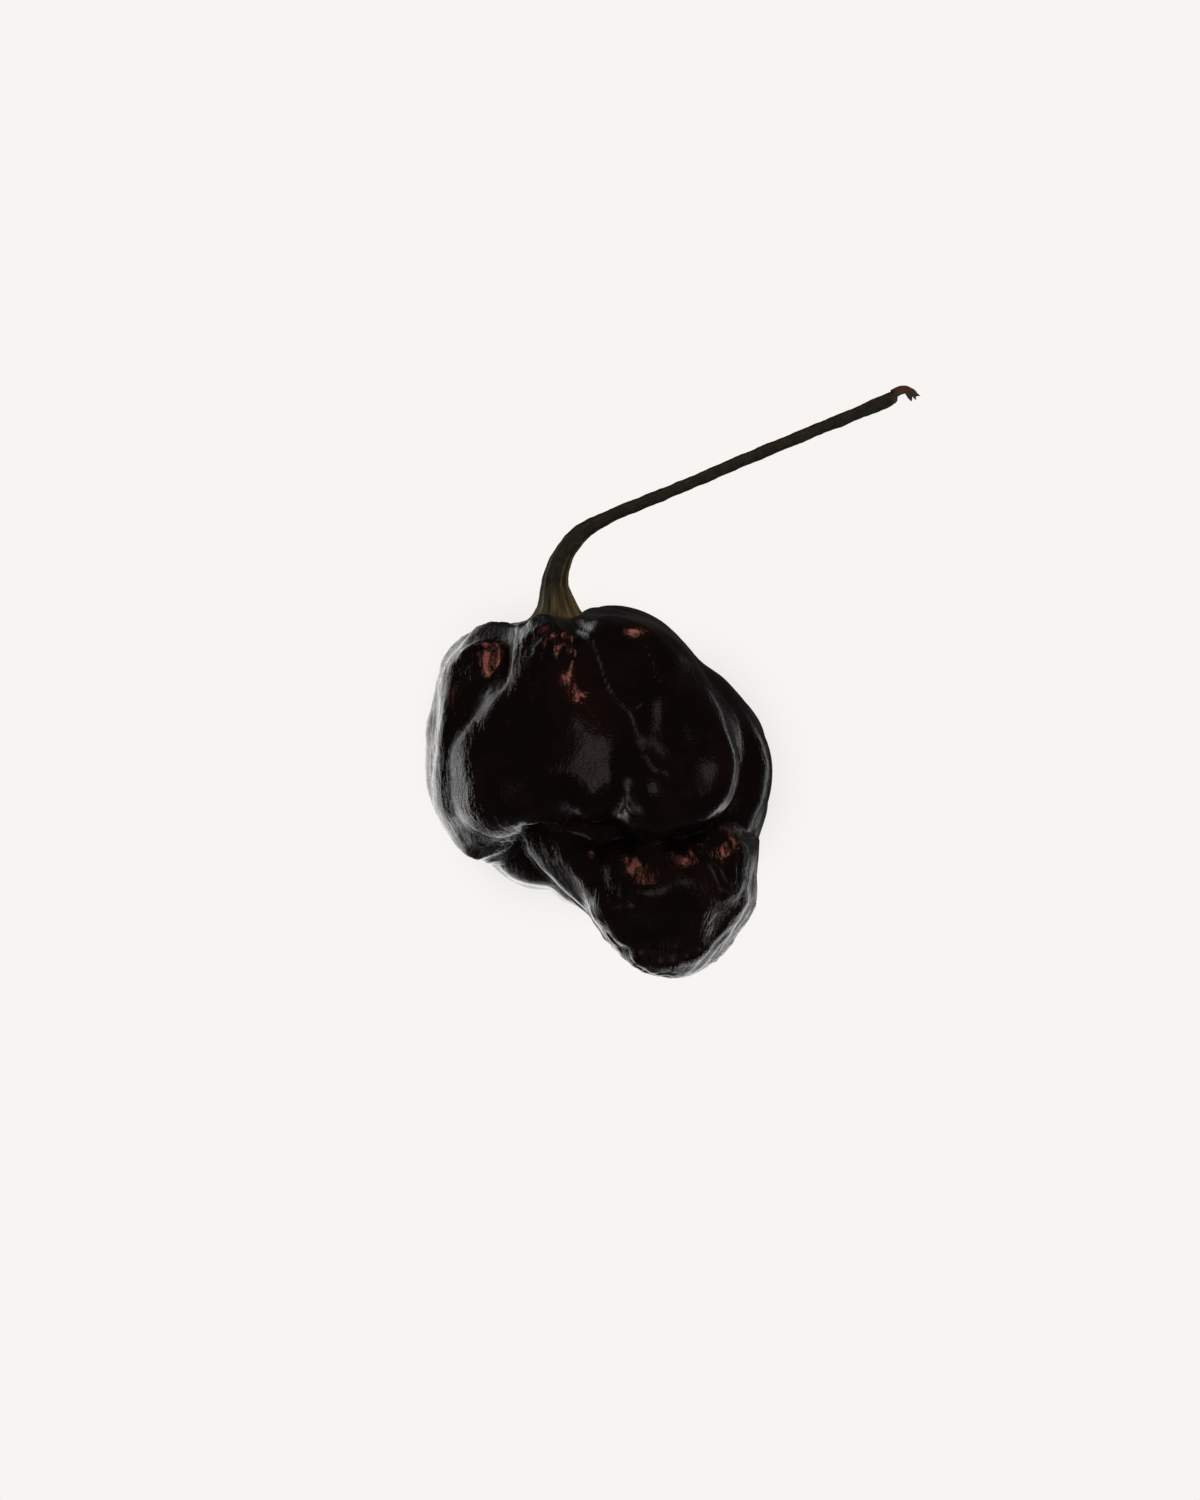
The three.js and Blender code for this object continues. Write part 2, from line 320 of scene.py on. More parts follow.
# Family, centre from the crown, half sizes, turn about Z, and how pillow-like: mm and degrees.
lobes = [
    ("body", (5.6, -17.2, -1.0), (13.0, 13.2, 12.5), 10, 2.0),
    ("left", (-6.8, -14.9, -0.6), (7.6, 13.3, 10.0), -8, 2.8),
    ("left", (-11.5, -14.4, 2.0), (2.5, 8.7, 8.2), -4, 3.4),
    ("left", (-7.3, -6.4, 1.0), (6.0, 4.9, 8.8), 36, 2.5),
    ("middle", (0.3, -8.6, 5.2), (5.4, 9.4, 11.2), 4, 2.2),
    ("middle", (-4.4, -10.4, 2.0), (5.2, 6.4, 10.8), -20, 2.2),
    ("middle", (-5.8, -17.3, 4.9), (6.8, 8.6, 9.8), -10, 3.4),
    ("middle", (2.8, -15.9, 6.0), (7.6, 7.9, 10.8), 14, 3.5),
    ("right", (9.9, -12.1, 4.2), (9.0, 13.4, 12.3), 20, 4.8),
    ("right", (13.4, -16.0, 3.8), (8.4, 8.6, 11.6), 20, 4.8),
    ("right", (10.4, -4.8, 2.6), (4.1, 3.7, 13.2), -40, 5.0),
    ("right", (4.8, -3.5, 1.0), (5.0, 5.2, 8.0), 0, 2.2),
    ("far right", (15.9, -16.5, -4.4), (9.3, 12.5, 13.4), 26, 4.0),
    ("tip", (13.0, -30.4, 0.6), (9.6, 6.8, 11.2), -6, 2.6),
    ("tip", (16.6, -26.4, -1.6), (6.6, 6.2, 10.0), 10, 2.6),
    ("tip", (19.6, -27.4, 0.0), (2.9, 3.6, 9.2), 0, 2.8),
    ("tip", (13.4, -33.8, -1.2), (8.5, 8.0, 10.2), 0, 2.4),
    ("tip", (14.3, -39.4, -1.2), (3.0, 3.1, 4.4), 0, 2.0),
    ("tip", (3.6, -28.4, 0.5), (9.2, 4.0, 8.0), -40, 2.4),
    ("back left", (-3.2, -14.6, -8.4), (9.4, 15.0, 9.9), 3, 2.3),
    ("back left", (-1.2, -24.9, -7.6), (7.4, 7.4, 8.4), 3, 3.4),
    ("fold", (2.8, -30.0, -4.0), (4.0, 4.2, 5.5), 0, 2.0),
    ("nested", (-7.0, -22.3, -3.5), (5.0, 6.2, 8.0), 0, 3.0),
    ("back", (6.4, -14.6, -9.8), (8.2, 14.6, 9.0), 8, 2.2),
    ("back low", (11.5, -26.6, -8.2), (8.6, 7.6, 10.4), 8, 2.2),
]
# The line that each family's wrinkles run along: a point on it, its turn about Z,
# the radius at which they are spaced, and how wrinkled the family is.
grain = {
    "body": ((5.6, -17.0, -1.0), 10, 12, 0.3),
    "left": ((-7.5, -14.0, -0.5), -6, 8, 1.0),
    "middle": ((-1.0, -14.0, 2.5), -4, 8, 0.75),
    "right": ((10.5, -13.8, 1.0), 20, 10, 0.22),
    "far right": ((15.0, -16.0, -4.5), 26, 10, 0.2),
    "tip": ((13.0, -31.0, -1.0), 4, 9, 1.0),
    "back left": ((-3.2, -15.6, -6.0), 3, 9, 0.6),
    "fold": ((2.8, -30.0, -4.0), 0, 4, 0.6),
    "nested": ((-7.0, -22.3, -3.5), 0, 5, 0.8),
    "back": ((6.4, -14.6, -7.0), 8, 9, 0.5),
    "back low": ((11.5, -26.6, -6.0), 8, 8, 0.7),
}


# Folds on the upper side, mm from the crown: the path, how far each reaches to the left and to the
# right of it, and its height. A negative height is a groove. A path inside marked() is in pixels of
# the picture.
folds = [
    # Hair crease.
    (marked([(593, 640), (609, 688), (616, 700), (630, 712), (634, 726), (640, 740), (650, 775)]),
     (0.25, 0.25), -0.12),
    # Fold between the two front lobes.
    (marked([(628, 782), (624, 798), (615, 813)]), (0.6, 0.4), -0.5),
    (marked([(629, 780), (630, 798), (640, 812)]), (0.4, 0.6), 0.45),
    # Shoulder of the middle lobe.
    (marked([(540, 617), (519, 641), (521, 668), (513, 690), (497, 712), (478, 724)]), (1.8, 1.6), 0.5),
    (marked([(531, 628), (527, 655), (515, 680), (503, 696)]), (0.4, 0.5), 0.16),
    # Crown.
    (marked([(562, 617), (580, 631), (597, 640)]), (0.3, 0.4), 0.2),
    (marked([(552, 622), (568, 635), (586, 641)]), (0.28, 0.4), 0.18),
    ([(-4.3, -2.3), (-3.7, -0.6), (-2.6, 0.2), (-1.5, 0.4), (-0.4, 0.1)], (0.3, 0.45), 0.35),
    ([(-2.0, -0.2), (-3.1, -0.9), (-3.7, -2.1), (-3.8, -3.6)], (0.28, 0.28), 0.22),
    ([(-0.5, -0.3), (-1.5, -1.1), (-2.6, -2.1), (-3.2, -3.4)], (0.28, 0.28), 0.24),
    ([(0.2, -0.6), (-0.2, -1.5), (-1.2, -2.3), (-2.2, -3.8)], (0.28, 0.28), 0.24),
    ([(0.6, -1.5), (1.9, -1.8), (3.0, -2.3)], (0.26, 0.3), 0.24),
    ([(1.2, -2.4), (2.0, -3.2), (2.2, -4.4)], (0.26, 0.3), 0.16),
    # Top of the left lobe.
    (marked([(446, 668), (470, 650), (495, 641), (513, 640)]), (0.4, 0.5), 0.3),
    (marked([(456, 658), (478, 644), (500, 633)]), (0.35, 0.35), 0.25),
    # Ridge down the top of the left lobe, and the flatter middle of the low lobe.
    ([(-7.4, -2.6), (-7.6, -5.0), (-7.9, -8.0)], (1.2, 1.2), 0.24),
    ([(9.0, -24.6), (9.4, -27.4), (9.8, -31.4)], (3.0, 3.0), -0.15),
    # Pinched flank above the tip.
    (marked([(594, 901), (611, 905), (628, 914), (629, 930), (624, 949)]), (0.7, 2.0), 0.6),
    (marked([(612, 902), (629, 905), (637, 914)]), (0.4, 0.4), 0.3),
    # Rim of the chin.
    ([(8.1, -38.8), (10.0, -39.8), (12.9, -40.3), (15.9, -39.8), (18.2, -38.0)], (0.45, 0.7), 0.5),
    # Lower rim of the middle lobe and the fold nested under it.
    ([(-3.6, -24.3), (-1.7, -23.3), (-0.1, -23.5), (1.4, -23.9), (3.0, -24.4)], (0.3, 0.35), 0.35),
    ([(-11.2, -27.0), (-9.3, -28.0), (-7.0, -26.9), (-4.8, -25.8)], (0.35, 0.35), 0.4),
    # Streaks right of the tip.
    (marked([(746, 888), (733, 918), (706, 950)]), (0.35, 0.4), 0.22),
    (marked([(740, 898), (719, 930), (694, 958)]), (0.3, 0.4), 0.2),
    (marked([(748, 905), (730, 932), (708, 955)]), (0.3, 0.3), 0.18),
    # Right of the low lobe.
    (marked([(688, 841), (704, 851), (718, 866), (726, 884), (721, 902)]), (1.3, 0.7), 0.6),
    # Rim of the right lobe.
    (marked([(588, 613), (620, 609), (650, 621), (690, 656)]), (0.22, 0.3), 0.1),
    (marked([(590, 620), (618, 616), (645, 628), (682, 660)]), (0.22, 0.3), 0.08),
]
# Pale marks painted on the upper side as a silvery sheen along the hair crease and the fold between the two
# front lobes: the path, its half width in mm and how plain it is.
paintedSheenLines = [
    ([(4.5, -2.6), (5.6, -6.2), (6.3, -8.1), (7.2, -9.6), (8.8, -11.0), (9.3, -12.5)], 0.11, 0.26),
    ([(7.2, -9.6), (8.2, -10.5), (9.6, -10.5), (10.4, -9.8)], 0.1, 0.22),
    ([(9.3, -12.5), (10.0, -14.2), (10.4, -16.0), (11.6, -17.6), (13.0, -18.2)], 0.16, 0.2),
    ([(10.0, -14.2), (11.6, -14.6), (12.6, -15.6)], 0.5, 0.14),
    ([(8.6, -19.1), (8.6, -20.4), (8.1, -21.4), (7.0, -22.8)], 0.36, 0.42),
    ([(8.7, -19.9), (8.9, -21.2), (10.0, -22.6)], 0.3, 0.3),
    ([(8.3, -21.9), (9.0, -22.3)], 0.6, 0.16),
]
# Where the skin leans a little more one way: the middle, the reach, and the lean across and along.
leans = [
    ((5.2, -36.6), (2.4, 3.4), (-0.6, -0.3)),
    ((22.0, -37.0), (5.0, 5.0), (0.35, -0.35)),
    ((-4.8, -5.4), (2.3, 4.4), (-0.9, 0.1)),
    ((-7.0, -10.4), (2.4, 2.4), (-0.35, 0.2)),
    ((-0.4, -22.0), (3.6, 1.8), (0.0, 0.3)),
    ((-6.9, -6.4), (1.4, 3.2), (0.15, 0.15)),
    ((1.8, -7.6), (2.4, 4.6), (-0.05, 0.54)),
    ((9.4, -27.4), (3.4, 2.6), (0.2, -0.46)),
    ((13.6, -18.0), (5.0, 5.0), (0.45, 0.1)),
    ((12.0, -32.6), (5.0, 4.0), (0.0, -0.35)),
    ((21.2, -26.6), (2.2, 2.0), (-0.6, 0.3)),
    ((19.2, -25.8), (2.0, 1.7), (0.1, -0.3)),
    ((-0.6, -3.2), (2.2, 2.4), (-0.5, 0.1)),
    ((-10.3, -7.4), (2.4, 3.4), (-0.6, -0.15)),
    ((12.8, -39.2), (4.0, 2.2), (0.0, 0.45)),
    ((-1.4, -17.4), (3.0, 3.0), (-0.22, 0.0)),
]


def turned(p, centre, turn):
    c, s = math.cos(math.radians(turn)), math.sin(math.radians(turn))
    x, y, z = (p - centre).T
    return x * c + y * s, y * c - x * s, z


def lobeDistance(p, centre, half, turn, pillow):
    x, y, z = turned(p, centre, turn)
    u, v, w = x / half[0], y / half[1], np.abs(z) / half[2]
    ring = np.maximum(np.hypot(u, v), pod["tiny"])
    size = np.maximum((ring ** pillow + w ** pillow) ** (1 / pillow), pod["tiny"])
    across = (ring / size) ** (pillow - 1) * np.hypot(u / half[0], v / half[1]) / ring
    deep = (w / size) ** (pillow - 1) / half[2]
    return (size - 1) / np.maximum(np.hypot(across, deep), pod["tiny"])


def softMin(distances, softness):
    stack = np.stack(distances)
    least = stack.min(0)
    return least - softness * np.log(np.exp((least - stack) / softness).sum(0))


def swayed(p):
    x, y, z = p.T
    return p + pod["sway"] * np.stack([
        np.sin(0.24 * y + 0.19 * z + 0.7) + 0.5 * np.sin(0.52 * z - 0.41 * y + 2.0),
        np.sin(0.22 * x - 0.27 * z + 1.9) + 0.5 * np.sin(0.48 * x + 0.37 * z),
        np.sin(0.25 * x + 0.21 * y + 4.1) + 0.5 * np.sin(0.56 * y - 0.3 * x + 1.0),
    ], 1)


def pleat(p):
    x, y, z = p.T
    count, depth, lean = pod["pleats"]
    wander = 1.1 * np.sin(0.21 * y) + 0.8 * np.sin(0.17 * y - 0.2 * x + 1.3)
    fade = np.clip(np.hypot(x - lean * y, z) / 9.0, 0.0, 1.0) ** 2
    return depth * fade * np.sin(count * np.arctan2(x - lean * y, z) + wander)


def familyDistances(p):
    q = swayed(p)
    parts = []
    for family in grain:
        members = [lobeDistance(q, *lobe[1:]) for lobe in lobes if lobe[0] == family]
        parts.append(softMin(members, pod["familySoftness"]))
    return parts


def podDistance(p):
    flesh = softMin(familyDistances(p), pod["creaseSoftness"]) + pleat(p)
    centre, radius, softness = pod["dimple"]
    bowl = np.linalg.norm(p - np.array(centre), axis=1) - radius
    return -softMin([-flesh, bowl], softness)


def uphill(p):
    slope = np.empty_like(p)
    for axis in range(3):
        step = np.zeros(3)
        step[axis] = pod["probe"]
        slope[:, axis] = (podDistance(p + step) - podDistance(p - step)) / (2 * pod["probe"])
    return slope


def gridValues(low, counts, cell):
    # A coarse grid says which points lie near the skin; only those are worked out.
    coarse = cell * pod["coarse"]
    axes = [np.arange(math.ceil(n * cell / coarse) + 2) * coarse + low[i] for i, n in enumerate(counts)]
    rough = podDistance(np.stack(np.meshgrid(*axes, indexing="ij"), -1).reshape(-1, 3))
    rough = rough.reshape([len(a) for a in axes])
    fine = [np.minimum(np.rint(np.arange(n) * cell / coarse).astype(int), len(axes[i]) - 1)
            for i, n in enumerate(counts)]
    values = rough[np.ix_(*fine)]
    near = np.argwhere(np.abs(values) < pod["shell"])
    for some in np.array_split(near, max(1, len(near) // pod["batch"])):
        values[tuple(some.T)] = podDistance(some * cell + low)
    return values


def surfaceNet(low, high, cell):
    low = np.array(low)
    counts = np.ceil((np.array(high) - low) / cell).astype(int) + 1
    values = gridValues(low, counts, cell)
    corners = [(n & 1, n >> 1 & 1, n >> 2 & 1) for n in range(8)]
    held = np.stack([values[i:counts[0] - 1 + i, j:counts[1] - 1 + j, k:counts[2] - 1 + k]
                     for i, j, k in corners], -1)
    inside = (held < 0).sum(-1)
    cells = np.argwhere((inside > 0) & (inside < 8))
    held = held[tuple(cells.T)]
    total = np.zeros((len(cells), 3))
    crossings = np.zeros(len(cells))
    for a in range(8):
        for b in (a | 1, a | 2, a | 4):
            if b == a:
                continue
            cut = (held[:, a] < 0) != (held[:, b] < 0)
            t = held[cut, a] / (held[cut, a] - held[cut, b])
            start, end = np.array(corners[a]), np.array(corners[b])
            total[cut] += start + t[:, None] * (end - start)
            crossings[cut] += 1
    points = low + (cells + total / crossings[:, None]) * cell

    index = np.full(counts, -1)
    index[tuple(cells.T)] = np.arange(len(cells))
    quads = []
    for axis in range(3):
        step, u, v = (np.roll(np.array([1, 0, 0]), axis + n) for n in range(3))
        end = counts - 1 - step
        near = values[1:end[0] + 1, 1:end[1] + 1, 1:end[2] + 1] < 0
        far = values[1 + step[0]:end[0] + 1 + step[0], 1 + step[1]:end[1] + 1 + step[1],
                     1 + step[2]:end[2] + 1 + step[2]] < 0
        for outward, cut in ((1, near & ~far), (-1, far & ~near)):
            at = np.argwhere(cut) + 1
            ring = [index[tuple((at - i * u - j * v).T)] for i, j in ((0, 0), (1, 0), (1, 1), (0, 1))]
            quads.append(np.stack(ring[::outward], 1))
    return points, np.concatenate(quads)


def skinPoints(points):
    most = pod["pullMost"]
    for _ in range(pod["pullSteps"]):
        slope = uphill(points)
        gain = podDistance(points) / np.maximum((slope ** 2).sum(1), pod["slopeLeast"])
        points = points - slope * np.clip(gain, -most, most)[:, None]
    return points


def pathReach(points, path):
    # Distance to the path seen from above, which side of it a point is on, and how far along it.
    path = np.array(path)
    best = np.full(len(points), np.inf)
    side = np.zeros(len(points))
    part = np.zeros(len(points))
    lengths = np.linalg.norm(np.diff(path, axis=0), axis=1)
    starts = np.concatenate([[0], np.cumsum(lengths)])
    for start, end, size, before in zip(path, path[1:], lengths, starts):
        way = (end - start) / size
        out = points[:, :2] - start
        t = np.clip(out @ way, 0, size)
        gap = np.linalg.norm(out - t[:, None] * way, axis=1)
        closer = gap < best
        best[closer] = gap[closer]
        side[closer] = (way[0] * out[:, 1] - way[1] * out[:, 0])[closer]
        part[closer] = ((before + t) / starts[-1])[closer]
    return best, side, part


# How strongly each point gets the painted sheen: pale colour standing in for a silvery sheen.
def paintedSheenMask(points):
    mark = np.zeros(len(points))
    for path, width, plain in paintedSheenLines:
        gap = pathReach(points, path)[0]
        mark = np.maximum(mark, plain * np.exp(-(gap / width) ** 2))
    return mark * (points[:, 2] > pod["paintedSheenAbove"])


def sculpted(points):
    slope = uphill(points)
    normal = slope / np.maximum(np.linalg.norm(slope, axis=1, keepdims=True), pod["tiny"])
    start, change = pod["facing"]
    facing = np.clip((normal[:, 2] - start) / change, 0, 1)
    start, change = pod["flank"]
    flank = np.clip((start - normal[:, 2]) / change, 0, 1)
    rise = np.zeros(len(points))
    for path, (left, right), height in folds:
        gap, side, part = pathReach(points, path)
        width = np.where(side > 0, left, right)
        ends = np.clip(np.minimum(part, 1 - part) / pod["foldEnd"], 0, 1)
        rise += height * np.exp(-(gap / width) ** 2) * ends * (2 - ends)
    for middle, (wide, tall), (across, along) in leans:
        x, y = (points[:, :2] - middle).T
        rise -= (across * x + along * y) * np.exp(-(x / wide) ** 2 - (y / tall) ** 2)
    return points + normal * (rise * facing)[:, None], flank


def flowAndFold(points):
    # For each point, where it lies along and round its family's line, and how wrinkled it is. Families
    # are set 40 mm apart in the first, so that no two have the same pattern.
    nearest = np.argmin(np.stack(familyDistances(points)), 0)
    flow = np.zeros((len(points), 3))
    fold = np.zeros(len(points))
    for number, (centre, turn, radius, amount) in enumerate(grain.values()):
        mine = nearest == number
        u, v, w = turned(points[mine], np.array(centre), turn)
        reach = np.hypot(u, w)
        spread = radius / np.maximum(reach, pod["spreadFrom"] * radius)
        flow[mine] = np.stack([u * spread + 40 * number, v, w * spread], 1)
        rising = (reach - pod["foldFrom"] * radius) / (pod["foldOver"] * radius)
        fold[mine] = amount * np.clip(rising, 0.0, 1.0)
    middle, radius, amount = pod["crownWrinkles"]
    crownward = np.linalg.norm(points - middle, axis=1) / radius
    fold = np.maximum(fold, amount * np.exp(-crownward ** 2))
    return flow, fold


def meshObject(name, points, faces, attributes=None):
    mesh = bpy.data.meshes.new(name)
    mesh.vertices.add(len(points))
    mesh.vertices.foreach_set("co", np.asarray(points, "f").ravel())
    mesh.loops.add(faces.size)
    mesh.loops.foreach_set("vertex_index", faces.ravel())
    mesh.polygons.add(len(faces))
    mesh.polygons.foreach_set("loop_start", np.arange(len(faces)) * faces.shape[1])
    mesh.update(calc_edges=True)
    for key, values in (attributes or {}).items():
        vector = values.ndim == 2
        layer = mesh.attributes.new(key, "FLOAT_VECTOR" if vector else "FLOAT", "POINT")
        layer.data.foreach_set("vector" if vector else "value", values.astype("f").ravel())
    mesh.polygons.foreach_set("use_smooth", np.ones(len(faces), bool))
    mesh.update()
    piece = bpy.data.objects.new(name, mesh)
    scene.collection.objects.link(piece)
    return piece


def buildSkin():
    points, quads = surfaceNet(*pod["reach"], pod["cell"])
    points = skinPoints(points)
    flow, fold = flowAndFold(points)
    points, flank = sculpted(points)
    fold *= pod["flatFold"] + (1 - pod["flatFold"]) * flank
    marks = {"flow": flow, "fold": fold, "paintedSheen": paintedSheenMask(points)}
    return meshObject("podSkin", points * mm + np.array(crown), quads, marks)


# Geometry Nodes trees

def newTree(name, sizes):
    tree = bpy.data.node_groups.new(name, "GeometryNodeTree")
    tree.interface.new_socket("Geometry", in_out="OUTPUT", socket_type="NodeSocketGeometry")
    tree.interface.new_socket("Geometry", in_out="INPUT", socket_type="NodeSocketGeometry")
    kinds = {int: "NodeSocketInt", float: "NodeSocketFloat", bpy.types.Material: "NodeSocketMaterial"}
    for label, value in sizes.items():
        kind = next(socket for cls, socket in kinds.items() if isinstance(value, cls))
        tree.interface.new_socket(label, in_out="INPUT", socket_type=kind)
    entry = tree.nodes.new("NodeGroupInput")
    return tree, {socket.name: Wire(tree, socket) for socket in entry.outputs if socket.name}


def applyTree(piece, tree, sizes):
    # Sets the tree's inputs by identifier, then turns the result into a plain mesh.
    modifier = piece.modifiers.new(tree.name, "NODES")
    modifier.node_group = tree
    for item in tree.interface.items_tree:
        if item.in_out == "INPUT" and item.name in sizes:
            modifier[item.identifier] = sizes[item.name]
    graph = bpy.context.evaluated_depsgraph_get()
    shaped = piece.evaluated_get(graph)
    mesh = bpy.data.meshes.new_from_object(shaped, preserve_all_data_layers=True, depsgraph=graph)
    name = piece.name
    bpy.data.objects.remove(piece)
    result = bpy.data.objects.new(name, mesh)
    scene.collection.objects.link(result)
    return result


def closeTree(at, geometry, material):
    solid = at.add("GeometryNodeRealizeInstances", None, {"Geometry": geometry})
    finished = at.add("GeometryNodeSetMaterial", None, {"Geometry": solid, "Material": material})
    at.add("NodeGroupOutput", None, {"Geometry": finished})


def named(at, name, kind):
    return at.add("GeometryNodeInputNamedAttribute", {"data_type": kind}, {"Name": name})


def ridged(value):
    # 1 along the middle of a noise, falling away either side of it.
    return 1 - (value - 0.5).run("ABSOLUTE") * 2


def wrinkleTree(sizes):
    tree, given = newTree("wrinkles", sizes)
    at = Wire(tree)
    flow = named(at, "flow", "FLOAT_VECTOR")
    fold = named(at, "fold", "FLOAT")
    normal = at.add("GeometryNodeInputNormal")
    place = at.add("GeometryNodeInputPosition")
    seeded = at.add("ShaderNodeCombineXYZ", None, {0: given["Seed"], 1: given["Seed"] * 1.7, 2: 3.1})
    stretched = flow * (1.0, 0.26, 1.0) + seeded
    fine = ridged(noise(at, 1 / given["Fine spacing"], 2.0, 0.55, 1.1, stretched))
    folds = ridged(noise(at, 1 / given["Fold spacing"], 1.0, 0.4, 0.9, flow * (1.0, 0.3, 1.0) + seeded))
    dents = noise(at, 1 / given["Dent spacing"], 1.0, 0.4, 0.0, place * (1 / mm) + seeded) - 0.5
    patch = noise(at, 0.13, 1.0, 0.5, 0.0, place * (1 / mm) + seeded * 2.0).between(0.38, 0.62, 0.25, 1.0)
    rise = (fine ** 3.0 * given["Fine height"] + folds ** 2.0 * given["Fold height"]) * fold * patch
    rise = rise + dents * given["Dent depth"]
    moved = at.add("GeometryNodeSetPosition", None,
                   {"Geometry": given["Geometry"], "Offset": normal * rise})
    closeTree(at, moved, given["Material"])
    return tree


skinFinish = {
    "dark": (0.0048, 0.0030, 0.0024),
    "red": (0.0130, 0.0058, 0.0042),
    "roughness": (0.10, 0.16),
    # Pale colour of the painted sheen along the crease and the fold.
    "paintedSheen": (0.34, 0.32, 0.31),
    "coat": 0.5,
    "coatRoughness": 0.11,
    "striaeSpacing": 0.42,       # mm
    "poreSpacing": 0.28,
    "relief": (0.8, 0.22, 0.08),    # shares of the striae, the grain and the pores
    "bump": 0.9,
    "bumpDistance": 0.48 * mm,
}


def skinMaterial(s):
    material, at = newMaterial("waxySkin")
    place = at.add("ShaderNodeTexCoord", output="Object") * (1 / mm)
    flow = at.add("ShaderNodeAttribute", {"attribute_name": "flow"}, output="Vector")
    clouds = noise(at, 0.12, 3.0, 0.6, 0.4, place)
    colour = mixColour(at, clouds.between(0.42, 0.66), (*s["dark"], 1), (*s["red"], 1))
    # Painted sheen: pale colour mixed into the skin along the crease and the fold.
    paintedSheen = at.add("ShaderNodeAttribute", {"attribute_name": "paintedSheen"}, output="Fac")
    patchy = noise(at, 2.2, 3.0, 0.6, 0.5, flow * (1.0, 0.4, 1.0)).between(0.35, 0.6, 0.05, 1.0)
    colour = mixColour(at, paintedSheen * patchy, colour, (*s["paintedSheen"], 1))
    smear = noise(at, 0.5, 2.0, 0.5, 0.0, flow * (1.0, 0.25, 1.0))
    roughness = smear.between(0.3, 0.7, *s["roughness"])
    fold = at.add("ShaderNodeAttribute", {"attribute_name": "fold"}, output="Fac")
    striae = noise(at, 1 / s["striaeSpacing"], 3.0, 0.6, 0.9, flow * (1.0, 0.22, 1.0))
    pores = noise(at, 1 / s["poreSpacing"], 1.0, 0.5, 0.0, place)
    grainy = noise(at, 2.1 / s["striaeSpacing"], 2.0, 0.6, 0.4, flow * (1.0, 0.5, 1.0))
    wrinkled = fold.between(0.05, 0.8, 0.14, 1.0)
    striaeShare, grainShare, poreShare = s["relief"]
    height = (striae * striaeShare + grainy * grainShare) * wrinkled + pores * poreShare
    bump = at.add("ShaderNodeBump", None,
                  {"Strength": s["bump"], "Distance": s["bumpDistance"], "Height": height})
    shader = at.add("ShaderNodeBsdfPrincipled", None, {
        "Base Color": colour, "Roughness": roughness, "IOR": 1.5, "Normal": bump,
        "Coat Weight": s["coat"], "Coat Roughness": s["coatRoughness"],
    })
    finishMaterial(at, shader)
    return material


wrinkles = {
    "Seed": 4.0,
    "Fine spacing": 1.15,
    "Fine height": 0.16 * mm,
    "Fold spacing": 3.6,
    "Fold height": 0.30 * mm,
    "Dent spacing": 7.0,
    "Dent depth": 0.9 * mm,
    "Material": skinMaterial(skinFinish),
}


def restOnFloor(piece):
    # The lowest lobes stay pressed flat on the surface.
    mesh = piece.data
    places = np.empty(len(mesh.vertices) * 3, "f")
    mesh.vertices.foreach_get("co", places)
    places = places.reshape(-1, 3)
    places[:, 2] = np.maximum(places[:, 2], 0)
    mesh.vertices.foreach_set("co", places.ravel())
    mesh.update()


skin = applyTree(buildSkin(), wrinkleTree(wrinkles), wrinkles)
restOnFloor(skin)
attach(skin, "root")
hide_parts("pod")
print("pod skin", len(skin.data.polygons), "quads")


# Stem with its calyx

print("stem")
stemRibs = 11
stem = {
    # Middle lines, mm from the crown: the stalk, then the torn strip at its end and its splinters.
    # Radii in mm against the distance along each line.
    "stalk": ([(0.2, -2.6, -1.0), (0.1, 1.4, -1.0), (-0.1, 5.0, -0.9), (1.0, 8.3, -0.9),
               (3.1, 10.8, -1.0), (6.0, 12.5, -1.2), (13.6, 15.7, -1.8), (26.9, 21.4, -2.8),
               (38.0, 26.0, -3.6), (41.2, 27.45, -3.8)],
              [(0, 0.02), (0.12, 1.0), (0.5, 2.0), (1.0, 2.8), (1.6, 3.4), (2.2, 3.85), (2.6, 3.6),
               (3.0, 3.1), (3.6, 2.65), (4.4, 2.2), (5.4, 1.85), (6.8, 1.5), (8.4, 1.38), (10.5, 1.2),
               (13, 1.05), (15.5, 0.87), (18, 0.76), (26, 0.69), (40, 0.69), (49, 0.74), (51.5, 0.8),
               (52.8, 0.74), (53.3, 0.62), (53.6, 0.02)]),
    "strip": ([(40.6, 27.6, -3.7), (41.9, 28.15, -3.8), (42.9, 27.95, -3.9), (43.65, 27.35, -4.0)],
              [(0, 0.5), (1.4, 0.44), (2.3, 0.36), (3.2, 0.26), (3.5, 0.02)]),
    "cut": ([(40.6, 27.15, -3.8), (40.98, 26.5, -3.8)], [(0, 0.4), (0.5, 0.2), (0.75, 0.02)]),
    "firstSplinter": ([(42.5, 27.9, -3.9), (42.9, 26.85, -4.0)], [(0, 0.34), (0.7, 0.2), (1.1, 0.02)]),
    "secondSplinter": ([(43.1, 27.7, -3.9), (43.45, 26.95, -4.0)], [(0, 0.28), (0.5, 0.16), (0.85, 0.02)]),
    "lastSplinter": ([(43.3, 27.7, -3.9), (43.95, 27.4, -4.0)], [(0, 0.22), (0.5, 0.13), (0.75, 0.02)]),
    "spacing": 0.11,             # mm between the points of a line
}


